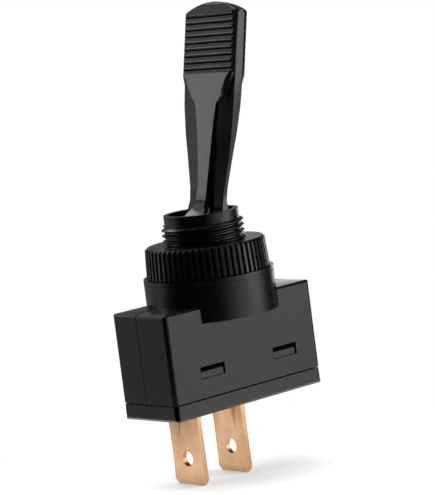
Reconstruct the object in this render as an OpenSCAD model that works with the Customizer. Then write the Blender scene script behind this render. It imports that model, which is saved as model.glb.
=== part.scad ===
// Panel toggle switch with a duckbill lever, one pole, two push-on blade terminals.
// Millimetres. The origin is on the neck's axis in the plane that seats against the panel.
// +Z leaves the panel through the neck, +X is the side that the lever leans to when it is on.

/* [Neck and collar] */
// Outside diameter of the threaded neck, over the thread's crests
neck_d = 11.9; // [11.6:0.1:13]
// Length of the neck's threaded part above the panel seat
thread_h = 7.25; // [6:0.05:12]
// Outside diameter of the plain ring at the neck's top
ring_d = 10.8; // [10.4:0.1:11.4]
// Height of the plain ring
ring_h = 1.5; // [0.8:0.1:3]
// Diameter of the bore that the lever swings in
bore_d = 9.4; // [9.2:0.05:9.8]
// Diameter of the collar that seats against the panel
collar_d = 18.8; // [18:0.1:22]
// Height of the collar above the case
collar_h = 3.65; // [3:0.05:6]
// How far the collar's skirt runs down the case's long faces
skirt_h = 2.4; // [1:0.1:4]
// Height of the rim at the collar's top, above its shadow groove
rim_h = 0.57; // [0.4:0.01:1]
// Width and depth of the shadow groove under the rim
rim_groove = 0.12; // [0.08:0.01:0.2]

/* [Case] */
// Length of the case along X
case_l = 28.2; // [27:0.1:34]
// Depth of the case along Y
case_w = 11.5; // [11.2:0.1:13]
// Height of the case from its top face to the seam with the base
case_h = 12.8; // [12.4:0.1:18]
// Thickness of the case's side walls
wall = 1.2; // [1:0.05:1.4]
// Thickness of the case's roof
roof = 1.55; // [1.2:0.05:2.5]
// Radius of the case's upright corners
corner_r = 0.7; // [0.4:0.05:1.1]
// Chamfer along the case's top edges
edge_c = 0.35; // [0.1:0.05:0.4]

/* [Snap windows] */
// Width of each snap window
window_w = 4.6; // [3.6:0.1:5.2]
// Height of each snap window
window_h = 1.72; // [1.4:0.02:2.2]
// Distance from the case's top face down to the windows
window_drop = 8.4; // [7.8:0.1:8.8]
// Centre of the left window along X
window_left_x = -6.5; // [-7.5:0.1:-5.5]
// Centre of the right window along X
window_right_x = 7.5; // [6.5:0.1:8.5]

/* [Base] */
// Height of the base plate below the seam
base_h = 2.45; // [2:0.05:4]
// How far the base plate stands proud of the case on each side
base_proud = 0.05; // [0:0.01:0.15]
// Height of the shadow groove round the seam between case and base
seam_h = 0.1; // [0.08:0.01:0.2]
// Depth of the shadow groove
seam_d = 0.15; // [0.1:0.01:0.3]
// Height of the rim that locates the base inside the case
base_rim_h = 1.5; // [1:0.1:2]
// Thickness of the base's rim and snap tongues
tongue_t = 0.9; // [0.7:0.05:1.1]
// Thickness of the bosses that hold the blades upright, on each side of a blade
boss_t = 1; // [0.8:0.1:1.2]
// Height of those bosses above the base plate
boss_h = 1.6; // [1:0.1:1.9]
// Length of the stop post under the rocker's idle arm, along X
post_l = 1.8; // [1.2:0.1:2.4]

/* [Ring nut] */
// Height of the ring nut
nut_h = 4.34; // [3:0.02:5]
// Diameter over the nut's teeth at its foot
nut_d = 17.8; // [16:0.1:19]
// How much smaller the nut is across at its top
nut_taper = 0.5; // [0:0.05:0.8]
// Number of grip teeth round the nut
nut_teeth = 60; // [40:1:72]
// Depth of the grooves between the teeth
tooth_h = 0.42; // [0.2:0.02:0.6]
// Width and height of the chamfer round the nut's top edge
nut_chamfer = 0.3; // [0.1:0.05:0.5]

/* [Lever] */
// Lean of the lever to each side of the neck's axis, in degrees
tilt = 13; // [10:0.5:14]
// Height of the lever's pivot above the panel seat
pivot_z = 2.6; // [2:0.1:3]
// Length of the lever from its pivot to its crown
lever_l = 36.15; // [32:0.05:42]
// Width of the lever across its two ridged pads
pad_w = 10.8; // [10:0.1:11]
// Thickness of the lever over the two ridged pads
pad_t = 2.8; // [2.5:0.05:3.2]
// Width of the flat down the middle of each narrow edge
flat_t = 1.2; // [0.8:0.05:1.4]
// Slope of the narrow edges to each side of their flat, in degrees
edge_slope = 16; // [10:1:24]
// Bevel between the pads and the narrow edges
pad_bevel = 0.14; // [0.05:0.01:0.2]
// Slope of the wings beside the ribs, in degrees
wing_slope = 6; // [3:0.5:6]
// Rise of the rounded crown over the lever's width
crown_rise = 1.3; // [0.8:0.1:2]
// How far each pad's face falls back from the top groove to the crown
crown_fall = 0.55; // [0.3:0.05:0.7]
// Rounding of the crown's long edges
crown_r = 0.85; // [0.4:0.05:1.1]
// Rounding of the crown's two shoulders
shoulder_r = 0.6; // [0.3:0.05:1]
// Number of grooves across each pad
groove_count = 9; // [6:1:10]
// Distance from groove to groove
groove_pitch = 0.95; // [0.8:0.01:1.1]
// Depth of the grooves
groove_h = 0.23; // [0.1:0.01:0.3]
// Distance from the lever's crown down to the topmost groove
groove_drop = 2.35; // [2:0.05:3]
// Gap all round between the lever's ball-shaped hub and the bore
hub_gap = 0.15; // [0.12:0.01:0.4]
// Outside diameter of the stem below the hub
stem_d = 4.6; // [4.2:0.1:5]
// Length of the stem below the pivot
stem_l = 10; // [9.4:0.1:10.6]

/* [Pin, spring and plunger] */
// Diameter of the pivot pin
pin_d = 1.6; // [1.4:0.1:1.8]
// Length of the pivot pin
pin_l = 10.6; // [10:0.1:11.2]
// Diameter of the plunger
plunger_d = 2.4; // [2:0.1:2.6]
// Length of the plunger's body above the centre of its nose
plunger_l = 4.6; // [4:0.1:4.8]
// Diameter of the spring's wire
wire_d = 0.32; // [0.25:0.01:0.36]
// Number of turns of the spring
spring_turns = 6; // [5:1:7]

/* [Rocker and contacts] */
// Tilt of the rocker to each side, in degrees
rocker_tilt = 8; // [7:0.5:8.5]
// Length of each arm of the rocker from its fulcrum
rocker_l = 7.4; // [7.3:0.1:7.8]
// Width of the rocker
rocker_w = 5.2; // [4.6:0.1:5.6]
// Thickness of the rocker strip
rocker_t = 0.8; // [0.6:0.05:1]
// Length of the trough's slope from the fulcrum to each arm
trough_l = 3.6; // [3.2:0.1:4]
// Rise of each slope of the trough
trough_h = 1.09; // [0.9:0.01:1.2]
// Height of the fulcrum edge above the case's seam
fulcrum_h = 4.85; // [4.6:0.05:5]
// Distance from the fulcrum to the contact rivets
contact_l = 6.8; // [6.4:0.1:6.9]
// Head diameter of the contact rivets
rivet_d = 3; // [2.6:0.1:3.2]
// Head height of the contact rivets
rivet_h = 0.8; // [0.6:0.05:0.9]
// Shank diameter of the contact rivets
shank_d = 1.4; // [1.2:0.1:1.6]

/* [Blade terminals] */
// Width of the blades
blade_w = 6.3; // [6:0.1:6.5]
// Thickness of the blades
blade_t = 0.8; // [0.7:0.05:0.9]
// Length of the blades below the base
blade_l = 10.5; // [9:0.1:14]
// Middle of the common blade along X
common_x = 0.4; // [0:0.1:0.6]
// Middle of the load blade along X
load_x = -8; // [-8.2:0.1:-7.9]
// Diameter of the hole through each blade
eye_d = 2.2; // [1.6:0.1:2.4]
// Distance from the blade's tip to the middle of its hole
eye_up = 3.8; // [3:0.1:4.5]
// Length of the corner cut at each side of the blade's tip
tip_cut = 0.75; // [0.4:0.05:1]
// Length of the bevels that thin the tip
tip_bevel = 0.7; // [0.4:0.05:1]
// Width of the ramp pressed through the blade just below the base
ramp_w = 2.9; // [2:0.1:3.2]
// Length of the pressed ramp
ramp_l = 2.2; // [1.5:0.1:2.6]
// Height of the pressed ramp
ramp_h = 0.3; // [0.05:0.01:0.35]

/* [Fits] */
// Gap between pieces that only lie together
gap = 0.05; // [0.02:0.01:0.08]
// Radial clearance of pieces that turn or slide on each other
run_clear = 0.05; // [0.02:0.01:0.08]
// Gap round the base's rim and tongues inside the case
base_clear = 0.1; // [0.05:0.01:0.15]

/* [Hidden] */
$fn = 96;

black = "#1b1b1d";
steel = "#b9bcc0";
brass = "#d6a860";
copper = "#d9a077";
silver = "#d8dadb";
nylon = "#e7e3d6";

// Levels
case_z = -collar_h;
seam_z = case_z - case_h;
foot_z = seam_z - base_h;
tip_z = foot_z - blade_l;
cavity_z = case_z - roof;
deck_z = seam_z - gap;
neck_top = thread_h + ring_h;
through = 0.5;

// Inside of the case
cavity_l = case_l - 2 * wall;
cavity_w = case_w - 2 * wall;
window_z = case_z - window_drop - window_h;
window_xs = [window_left_x, window_right_x];

// Rocker: the fulcrum is the rounded top edge of the common terminal's fork
fulcrum_z = seam_z + fulcrum_h;
trough_a = atan(trough_h / trough_l);
slope_h = rocker_t / cos(trough_a);
vertex = gap / 2 + slope_h;
arm_top = vertex + trough_h;
fork_w = 4;
ear_h = 1.6;
waist_l = blade_t + 6 * run_clear;

// The plunger's nose clears the trough all the way from one side of the swing to the other
nose_r = plunger_d / 2;
drop = pivot_z - fulcrum_z;
function nose_reach(part, side) =
    let (slope = trough_a - rocker_tilt * part)
    (drop * cos(slope) - side * common_x * sin(slope) - vertex * cos(trough_a) - nose_r - gap)
        / cos(tilt * part - slope);
nose_l = min([for (side = [-1, 1], step = [0:8]) nose_reach(step / 8, side)]);
plunger_top = nose_l - plunger_l;
spring_bore_top = pin_d / 2 + 1.4;

// Contacts: where the moving rivet meets the fixed one when the switch is on
seat = [-contact_l, arm_top - rocker_t];
contact_x = common_x + seat[0] * cos(rocker_tilt) - seat[1] * sin(rocker_tilt);
contact_z = fulcrum_z + seat[0] * sin(rocker_tilt) + seat[1] * cos(rocker_tilt) - rivet_h;
rivet_dip = (rivet_d / 2) * sin(rocker_tilt);
shelf_z = contact_z - rivet_dip - gap - rivet_h;
idle_z = fulcrum_z + (-(rocker_l - post_l / 2) * sin(rocker_tilt) + seat[1] * cos(rocker_tilt)) - 4 * gap;

hub_d = bore_d - 2 * hub_gap;
// Lever: stations up the shaft run from 0 at its root to 1 at the lowest groove
root_u = bore_d * 0.55;
groove_top = lever_l - groove_drop;
groove_foot = groove_top - (groove_count - 1) * groove_pitch;
pad_foot = groove_foot - groove_pitch / 2;
crown_big_r = (pow(pad_w / 2, 2) + pow(crown_rise, 2)) / (2 * crown_rise);
crown_c = lever_l - crown_big_r;

// ---------------------------------------------------------------- shared shapes

// A rectangle with true round corners
module round_rect(l, w, r) {
    square([l - 2 * r, w], center = true);
    square([l, w - 2 * r], center = true);
    for (x = [-1, 1], y = [-1, 1])
        translate([x * (l / 2 - r), y * (w / 2 - r)]) circle(r);
}

// A box open to all sides but its chamfered top, seen along Y
module chamfered_profile(l, h, c)
    polygon([[-l / 2, 0], [l / 2, 0], [l / 2, h - c], [l / 2 - c, h], [-l / 2 + c, h], [-l / 2, h - c]]);

// Turns an outline drawn in X and Z into a solid of width w along Y
module along_y(w)
    rotate([90, 0, 0]) linear_extrude(w, center = true) children();

// Turns an outline drawn in Y and Z into a solid of thickness t along X
module along_x(t)
    rotate([90, 0, 90]) linear_extrude(t, center = true) children();

// Puts a shape drawn up the lever's own axis in its leaning place
module leaning()
    translate([0, 0, pivot_z]) rotate([0, tilt, 0]) children();

// Puts a shape drawn about the fulcrum, with the rocker level, in its tilted place
module rocking()
    translate([common_x, 0, fulcrum_z]) rotate([0, -rocker_tilt, 0]) children();

// ---------------------------------------------------------------- housing

// A block with round upright corners and chamfered top edges
module block(l, w, h, r)
    intersection() {
        linear_extrude(h) round_rect(l, w, r);
        along_y(w + through) chamfered_profile(l, h, edge_c);
        along_x(l + through) chamfered_profile(w, h, edge_c);
    }

// Collar, its skirts down the long faces, the threaded neck and the plain ring
module turned_top()
    rotate_extrude() polygon([
        [0, case_z - skirt_h],
        [collar_d / 2, case_z - skirt_h],
        [collar_d / 2, -rim_h - rim_groove],
        [collar_d / 2 - rim_groove, -rim_h - rim_groove],
        [collar_d / 2 - rim_groove, -rim_h],
        [collar_d / 2, -rim_h],
        [collar_d / 2, 0],
        [neck_d / 2, 0],
        [neck_d / 2, thread_h],
        [ring_d / 2, thread_h],
        [ring_d / 2, neck_top],
        [0, neck_top]
    ]);

module housing()
    color(black) difference() {
        union() {
            translate([0, 0, seam_z]) block(case_l, case_w, case_h, corner_r);
            turned_top();
        }
        translate([0, 0, cavity_z - through]) cylinder(d = bore_d, h = neck_top - cavity_z + 2 * through);
        translate([-cavity_l / 2, -cavity_w / 2, seam_z - through])
            cube([cavity_l, cavity_w, cavity_z - seam_z + through]);
        translate([0, 0, pivot_z]) rotate([90, 0, 0])
            cylinder(d = pin_d + gap / 2, h = neck_d + 2 * through, center = true);
        for (x = window_xs)
            translate([x - window_w / 2, -case_w / 2 - through, window_z])
                cube([window_w, case_w + 2 * through, window_h]);
    }

// ---------------------------------------------------------------- base

// A tongue with its snap barb, outside face towards +Y
module snap_tongue() {
    face = cavity_w / 2 - base_clear;
    reach = case_w / 2 - 0.2;
    top = window_z + window_h - gap;
    hook = window_z + gap;
    along_x(window_w - 4 * base_clear)
        polygon([
            [face - tongue_t, deck_z - through],
            [face, deck_z - through],
            [face, hook],
            [reach, hook],
            [reach, hook + window_h * 0.55],
            [face, top],
            [face - tongue_t, top]
        ]);
}

module blade_boss(x)
    translate([x - blade_t / 2 - boss_t, -blade_w / 2 - boss_t / 2, deck_z - through])
        cube([blade_t + 2 * boss_t, blade_w + boss_t, boss_h + through]);

module base()
    color(black) difference() {
        union() {
            translate([0, 0, deck_z]) mirror([0, 0, 1])
                block(case_l + 2 * base_proud, case_w + 2 * base_proud,
                      deck_z - foot_z, corner_r + base_proud);
            difference() {
                translate([0, 0, deck_z - through])
                    linear_extrude(base_rim_h + through)
                        round_rect(cavity_l - 2 * base_clear, cavity_w - 2 * base_clear, corner_r / 2);
                translate([0, 0, deck_z])
                    linear_extrude(base_rim_h + through)
                        square([cavity_l - 2 * base_clear - 2 * tongue_t,
                                cavity_w - 2 * base_clear - 2 * tongue_t], center = true);
            }
            for (x = window_xs, side = [0, 180])
                translate([x, 0, 0]) rotate([0, 0, side]) snap_tongue();
            blade_boss(common_x);
            blade_boss(load_x);
            translate([common_x + rocker_l - post_l, -rocker_w / 2, deck_z - through])
                cube([post_l, rocker_w, idle_z - deck_z + through]);
        }
        translate([0, 0, deck_z - seam_h]) linear_extrude(seam_h + through) difference() {
            square([case_l + 1, case_w + 1], center = true);
            round_rect(case_l - 2 * seam_d, case_w - 2 * seam_d, corner_r - seam_d / 2);
        }
        for (x = [common_x, load_x])
            translate([x - blade_t / 2 - gap / 2, -blade_w / 2 - gap / 2, foot_z - through])
                cube([blade_t + gap, blade_w + gap, base_h + boss_h + 2 * through]);
    }

// ---------------------------------------------------------------- ring nut

// Round outline with one flat-topped tooth per pitch
module toothed_outline(r, count, h) {
    pitch_a = 360 / count;
    polygon([for (k = [0:count - 1], p = [[0, h], [0.2, h], [0.38, 0], [0.82, 0]])
        let (a = (k + p[0]) * pitch_a) (r - p[1]) * [cos(a), sin(a)]]);
}

module ring_nut()
    color(black) translate([0, 0, gap]) difference() {
        intersection() {
            linear_extrude(nut_h, scale = 1 - nut_taper / nut_d)
                toothed_outline(nut_d / 2, nut_teeth, tooth_h);
            union() {
                cylinder(d = nut_d + 1, h = nut_h - nut_chamfer);
                translate([0, 0, nut_h - nut_chamfer])
                    cylinder(d1 = nut_d - nut_taper, d2 = nut_d - nut_taper - 2 * nut_chamfer,
                             h = nut_chamfer);
            }
        }
        translate([0, 0, -through]) cylinder(d = neck_d + 2 * run_clear, h = nut_h + 2 * through);
    }

// ---------------------------------------------------------------- lever

// How the shaft changes from its root, 0, to the foot of the pads, 1
root_half = bore_d * 0.435;
waist_half = bore_d * 0.38;
function plate_half(s) =
    lookup(s, [[-0.2, root_half], [0, root_half], [0.06, waist_half + 0.2], [0.12, waist_half],
               [0.21, pad_w * 0.345], [0.42, pad_w * 0.416], [0.585, pad_w * 0.461],
               [0.785, pad_w * 0.492], [1, pad_w / 2]]);
function flat_half(s) = flat_t / 2 *
    lookup(s, [[-0.2, 1.1], [0, 1.1], [0.06, 0.8], [0.12, 0.42], [0.21, 0.28],
               [0.42, 0.3], [0.585, 0.58], [0.785, 0.87], [1, 1]]);
function wing_foot(s) = pad_t / 2 *
    lookup(s, [[-0.2, 0.8], [0, 0.8], [0.03, 0.56], [0.06, 0.4], [0.12, 0.28], [0.21, 0.24],
               [0.42, 0.25], [0.585, 0.38], [0.785, 0.52], [1, 0.58]]);
function rib_half(s) = pad_w / 2 *
    lookup(s, [[-0.2, 0.3], [0, 0.3], [0.03, 0.27], [0.06, 0.227], [0.12, 0.2], [0.21, 0.188], [0.32, 0.215],
               [0.42, 0.247], [0.585, 0.305], [0.69, 0.353], [0.785, 0.42], [0.84, 0.525], [0.965, 0.753],
               [1, 0.87]]);
function rib_face(s) = pad_t / 2 *
    lookup(s, [[-0.2, 2.2], [0, 2.2], [0.03, 1.75], [0.06, 1.42], [0.09, 1.19], [0.12, 1.06], [0.21, 0.92],
               [0.32, 0.88], [0.585, 0.89], [0.785, 0.94], [1, 0.96]]);
function station_u(s) = root_u + s * (pad_foot - root_u);
stations = [-0.16, 0, 0.03, 0.06, 0.09, 0.12, 0.21, 0.32, 0.42, 0.585, 0.69, 0.785, 0.84, 0.965, 1];

// Outline that is mirrored about the lever's axis
module mirrored(half)
    polygon(concat(half, [for (i = [len(half) - 1:-1:0]) [-half[i][0], half[i][1]]]));

// Two outlines drawn across the lever and turned by an angle to each side, where they cross
module facing(angle, half)
    intersection_for (side = [-1, 1])
        rotate([0, 0, side * angle]) along_y(4 * pad_w) mirrored(half);

// Front outline of the lever: its shaft's sides, then straight sides under the round crown
module front_outline(inset) {
    r = crown_big_r - inset;
    side = pad_w / 2 - shoulder_r;
    shoulder_u = crown_c + sqrt(pow(r - shoulder_r, 2) - pow(side, 2));
    touch = side * r / (r - shoulder_r);
    mirrored(concat([for (s = stations) [plate_half(s), station_u(s)]], [[pad_w / 2, shoulder_u]]));
    for (x = [-1, 1]) translate([x * side, shoulder_u]) circle(shoulder_r);
    translate([0, crown_c]) intersection() {
        circle(r);
        translate([-touch, shoulder_u - crown_c]) square([2 * touch, r]);
    }
}

// Section through the two pads, with its narrow edges sloped to each side of their flat
module pad_section() {
    x = pad_t / 2;
    edge_y = pad_w / 2 - (x - pad_bevel - flat_t / 2) * tan(edge_slope);
    corner = [[x, edge_y - 2 * pad_bevel], [x - pad_bevel, edge_y], [flat_t / 2, pad_w / 2]];
    half = concat(corner, [for (i = [2:-1:0]) [-corner[i][0], corner[i][1]]]);
    polygon(concat(half, [for (i = [0:5]) -half[i]]));
}

// Side outline of the pads, with scalloped grooves across both
module grooved_profile() {
    flat = pad_t / 2;
    mirrored(concat(
        [[rib_face(1), pad_foot], [flat, pad_foot + groove_pitch / 8]],
        [for (k = [0:groove_count - 2], i = [0:6])
            [flat - groove_h * (1 - sin(180 * i / 7)), groove_foot + groove_pitch * (k + i / 7)]],
        [for (i = [0:3]) [flat - groove_h * (1 - sin(90 * i / 3)), groove_top + groove_pitch / 2 * i / 3]],
        [[flat, groove_top + groove_pitch / 2], [flat - crown_fall, lever_l]]));
}

// The crown's disc, with its two long edges rounded
module crown_disc()
    translate([0, 0, crown_c]) rotate([0, 90, 0]) rotate_extrude() {
        translate([0, -pad_t / 2]) square([crown_big_r - crown_r, pad_t]);
        translate([0, -pad_t / 2 + crown_r]) square([crown_big_r, pad_t - 2 * crown_r]);
        for (side = [-1, 1])
            translate([crown_big_r - crown_r, side * (pad_t / 2 - crown_r)]) circle(crown_r);
    }

// The plate that runs the whole length of the lever, with a sloped wing to each side of the ribs
module plate() {
    core = pad_t / 2 - groove_h - pad_bevel;
    intersection() {
        along_x(pad_t) front_outline(pad_bevel);
        facing(0, concat([for (s = stations) [s > 0.97 ? core : rib_face(s) - rib_step, station_u(s)]],
                         [[core, lever_l + through]]));
        facing(wing_slope, concat(
            [for (s = stations) [wing_reach(s), station_u(s)]], [[wing_reach(1), lever_l + through]]));
        facing(90 - edge_slope, concat(
            [for (s = stations) [edge_reach(s), station_u(s)]], [[edge_reach(1), lever_l + through]]));
    }
}

// How far the wings and the sloped edges stand from the lever's axis, each along its own facing
rib_step = 0.06;
function edge_reach(s) = flat_half(s) * sin(edge_slope) + plate_half(s) * cos(edge_slope);
function wing_reach(s) =
    wing_foot(s) * cos(wing_slope)
    + (plate_half(s) - (wing_foot(s) - flat_half(s)) * tan(edge_slope)) * sin(wing_slope);

// The ribs up the middle of both faces, with sloped sides, which widen to the foot of the pads
module ribs() {
    slope = 50;
    foot_w = 0.5;
    top = [rib_half(1) + foot_w, pad_foot + groove_pitch / 8];
    intersection() {
        along_x(4 * pad_t) mirrored(concat(
            [for (s = stations) [rib_half(s) + foot_w, station_u(s)]], [top]));
        facing(0, concat([for (s = stations) [rib_face(s), station_u(s)]], [[rib_face(1), top[1]]]));
        facing(slope, concat(
            [for (s = stations) [rib_face(s) * cos(slope) + rib_half(s) * sin(slope), station_u(s)]],
            [[rib_face(1) * cos(slope) + rib_half(1) * sin(slope), top[1]]]));
    }
}

// The ridged pads on both faces, up to the round crown
module pads()
    intersection() {
        along_x(2 * pad_t) front_outline(0);
        along_y(pad_w + 1) grooved_profile();
        translate([0, 0, pad_foot]) linear_extrude(lever_l) pad_section();
        union() {
            crown_disc();
            translate([0, 0, crown_c / 2]) cube([2 * pad_t, pad_w + 1, crown_c], center = true);
        }
    }

// The low shoulders under the pads, which step down to the wings in a rounded hook
module pad_shoulders() {
    foot = 0.79;
    top = pad_foot + groove_pitch / 4;
    slope = wing_slope + 2;
    hook_y = pad_w * 0.39;
    side = [for (s = [foot, 0.84, 0.965, 1])
        [rib_face(s) * cos(slope) + rib_half(s) * sin(slope), station_u(s)]];
    intersection() {
        along_x(pad_t) mirrored([
            [rib_half(foot) * 0.8, station_u(foot)],
            [hook_y - 1.2, station_u(0.81)],
            [hook_y - 0.3, station_u(0.823)],
            [hook_y, station_u(0.835)],
            [hook_y + 0.25, station_u(0.86)],
            [pad_w / 2, top]]);
        facing(0, [[rib_face(foot), station_u(foot)], [rib_face(1), top]]);
        facing(slope, concat(side, [[side[3][0], top]]));
        facing(90 - edge_slope, [[edge_reach(foot), station_u(foot)], [edge_reach(1), top]]);
    }
}

module lever()
    color(black) leaning() difference() {
        union() {
            plate();
            ribs();
            pads();
            pad_shoulders();
            sphere(d = hub_d);
            translate([0, 0, -stem_l]) cylinder(d = stem_d, h = stem_l);
        }
        rotate([90, 0, 0]) cylinder(d = pin_d + 2 * run_clear, h = bore_d, center = true);
        translate([0, 0, -stem_l - through])
            cylinder(d = plunger_d + 2 * run_clear, h = stem_l - spring_bore_top + through);
    }

module pivot_pin()
    color(steel) translate([0, 0, pivot_z]) rotate([90, 0, 0])
        cylinder(d = pin_d, h = pin_l, center = true);

// ---------------------------------------------------------------- spring and plunger

module plunger_spring() {
    mean_r = nose_r - wire_d / 2 - run_clear;
    low = -plunger_top + gap + wire_d / 2;
    high = -spring_bore_top - gap - wire_d / 2;
    sides = 6;
    steps = spring_turns * 14;
    color(steel) leaning() polyhedron(
        points = [for (k = [0:steps], j = [0:sides - 1])
            let (turn = 360 * spring_turns * k / steps, a = 360 * j / sides,
                 r = mean_r + wire_d / 2 * cos(a))
            [r * cos(turn), r * sin(turn), low + (high - low) * k / steps + wire_d / 2 * sin(a)]],
        faces = concat(
            [[for (j = [0:sides - 1]) j]],
            [[for (j = [sides - 1:-1:0]) steps * sides + j]],
            [for (k = [0:steps - 1], j = [0:sides - 1], half = [0, 1])
                let (a = k * sides + j, b = k * sides + (j + 1) % sides)
                half == 0 ? [a, a + sides, b] : [b, a + sides, b + sides]]));
}

module plunger()
    color(nylon) leaning() {
        translate([0, 0, -nose_l]) {
            sphere(d = plunger_d);
            cylinder(d = plunger_d, h = plunger_l);
        }
    }

// ---------------------------------------------------------------- rocker and contacts

module rocker_profile()
    polygon([
        [0, vertex - slope_h],
        [trough_l, arm_top - slope_h],
        [trough_l + 0.1, arm_top - rocker_t],
        [rocker_l, arm_top - rocker_t],
        [rocker_l, arm_top],
        [trough_l, arm_top],
        [0, vertex],
        [-trough_l, arm_top],
        [-rocker_l, arm_top],
        [-rocker_l, arm_top - rocker_t],
        [-trough_l - 0.1, arm_top - rocker_t],
        [-trough_l, arm_top - slope_h]
    ]);

module rocker_contact()
    color(brass) rocking() difference() {
        along_y(rocker_w) rocker_profile();
        for (side = [-1, 1])
            translate([-waist_l / 2,
                       side * rocker_w / 2 - (rocker_w - fork_w) / 2 - 2 * run_clear,
                       -through])
                cube([waist_l, rocker_w - fork_w + 4 * run_clear, arm_top + 2 * through]);
        translate([-contact_l, 0, arm_top - rocker_t - through])
            cylinder(d = shank_d, h = rocker_t + 2 * through);
    }

// A rivet with its head down and its shank up through a strip of thickness t, head's back at z = 0
module contact_rivet(t) {
    translate([0, 0, -rivet_h]) cylinder(d = rivet_d, h = rivet_h);
    translate([0, 0, -rivet_h / 2]) cylinder(d = shank_d - gap / 2, h = rivet_h / 2 + t);
}

module moving_contact_rivet()
    color(silver) rocking() translate([-contact_l, 0, arm_top - rocker_t]) contact_rivet(rocker_t);

module fixed_contact_rivet()
    color(silver) translate([contact_x, 0, shelf_z]) rotate([180, 0, 0]) contact_rivet(blade_t);

// ---------------------------------------------------------------- terminals

// Outline of a blade seen along X, from its tip up to the given level
module blade_outline(top)
    polygon([
        [-blade_w / 2, tip_z + tip_cut],
        [-blade_w / 2 + tip_cut * 0.6, tip_z],
        [blade_w / 2 - tip_cut * 0.6, tip_z],
        [blade_w / 2, tip_z + tip_cut],
        [blade_w / 2, top],
        [-blade_w / 2, top]
    ]);

// Thickness of a blade seen along Y, with its tip bevelled from both sides
module blade_profile(top)
    polygon([
        [-blade_t / 4, tip_z],
        [blade_t / 4, tip_z],
        [blade_t / 2, tip_z + tip_bevel],
        [blade_t / 2, top],
        [-blade_t / 2, top],
        [-blade_t / 2, tip_z + tip_bevel]
    ]);

// A ramp that rises towards +X from the plane x = 0 up to the level z = 0, with sloped sides
module pressed_ramp()
    intersection() {
        along_y(ramp_w) polygon([[-blade_t / 2, -ramp_l], [0, -ramp_l], [ramp_h, 0], [-blade_t / 2, 0]]);
        translate([0, 0, -ramp_l]) linear_extrude(ramp_l) polygon([
            [-blade_t / 2, -ramp_w / 2], [0, -ramp_w / 2], [ramp_h, -ramp_w / 2 + ramp_h],
            [ramp_h, ramp_w / 2 - ramp_h], [0, ramp_w / 2], [-blade_t / 2, ramp_w / 2]]);
    }

// A blade with its hole and its ramp, sunk on one face and raised on the other, middle plane at x = 0
module blade(top)
    difference() {
        union() {
            intersection() {
                along_x(blade_t + 1) blade_outline(top);
                along_y(blade_w + 1) blade_profile(top);
            }
            translate([blade_t / 2, 0, foot_z - gap]) pressed_ramp();
        }
        translate([-blade_t / 2, 0, foot_z - gap]) pressed_ramp();
        translate([0, 0, tip_z + eye_up]) rotate([0, 90, 0])
            cylinder(d = eye_d, h = blade_t + 2, center = true);
    }

// The blade's top is a fork: the rocker lies between its ears on the fork's rounded edge
module common_terminal()
    color(copper) translate([common_x, 0, 0]) {
        rotate([0, 0, 180]) blade(fulcrum_z - blade_t / 2);
        translate([0, 0, fulcrum_z - blade_t / 2]) rotate([90, 0, 0])
            cylinder(d = blade_t, h = blade_w, center = true);
        for (side = [-1, 1])
            translate([-blade_t / 2,
                       side * (blade_w + fork_w) / 4 - (blade_w - fork_w) / 4,
                       fulcrum_z - blade_t])
                cube([blade_t, (blade_w - fork_w) / 2, ear_h + blade_t]);
    }

// The blade's top is bent over into the shelf that carries the fixed contact
module load_terminal()
    color(copper) difference() {
        union() {
            translate([load_x, 0, 0]) blade(shelf_z - blade_t);
            along_y(rocker_w - 0.4) polygon([
                [load_x - blade_t / 2, shelf_z - blade_t - 0.2],
                [load_x + blade_t / 2, shelf_z - blade_t - 0.2],
                [load_x + blade_t / 2 + 0.2, shelf_z - blade_t],
                [contact_x + rivet_d / 2, shelf_z - blade_t],
                [contact_x + rivet_d / 2, shelf_z],
                [load_x + 0.2, shelf_z],
                [load_x - blade_t / 2, shelf_z - 0.6]
            ]);
        }
        translate([contact_x, 0, shelf_z - blade_t - through])
            cylinder(d = shank_d, h = blade_t + 2 * through);
    }

// ---------------------------------------------------------------- parts

housing();
base();
ring_nut();
lever();
pivot_pin();
plunger_spring();
plunger();
rocker_contact();
moving_contact_rivet();
fixed_contact_rivet();
common_terminal();
load_terminal();
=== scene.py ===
"""A panel toggle switch with a duckbill lever: its finishes, its thread and a small photo studio.

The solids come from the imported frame. This script threads the neck, draws the fine seams, presses
the blades' ramps, dresses every solid and sets up the floor, the lamps and the camera.
"""

import logging
import math
from collections.abc import Callable
from dataclasses import dataclass, field
from enum import Enum

import bpy
from bpy.types import Material, Node, NodeSocket, NodeTree, Object
from mathutils import Matrix, Vector

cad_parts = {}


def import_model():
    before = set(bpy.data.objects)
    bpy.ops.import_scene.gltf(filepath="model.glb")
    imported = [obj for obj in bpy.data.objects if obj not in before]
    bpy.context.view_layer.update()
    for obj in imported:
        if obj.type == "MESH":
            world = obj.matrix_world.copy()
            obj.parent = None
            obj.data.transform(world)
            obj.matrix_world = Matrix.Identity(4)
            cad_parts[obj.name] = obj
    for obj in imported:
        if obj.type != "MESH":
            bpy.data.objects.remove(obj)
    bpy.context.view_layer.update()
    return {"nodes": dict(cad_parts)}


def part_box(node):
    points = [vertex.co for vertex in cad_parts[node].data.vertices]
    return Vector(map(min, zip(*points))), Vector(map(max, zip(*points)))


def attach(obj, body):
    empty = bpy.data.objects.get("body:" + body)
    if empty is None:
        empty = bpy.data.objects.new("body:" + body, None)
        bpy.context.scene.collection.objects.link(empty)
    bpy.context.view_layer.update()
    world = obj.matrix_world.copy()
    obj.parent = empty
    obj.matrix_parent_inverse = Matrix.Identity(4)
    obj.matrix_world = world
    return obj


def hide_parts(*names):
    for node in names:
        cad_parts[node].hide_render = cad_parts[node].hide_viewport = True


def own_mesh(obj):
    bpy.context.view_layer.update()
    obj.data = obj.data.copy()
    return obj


LOG = logging.getLogger("switch")
MM = 0.001
# How near two sides or heights count as level, and how near two vertices count as one
NEAR = 0.01 * MM
SAME = 0.002 * MM


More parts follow.
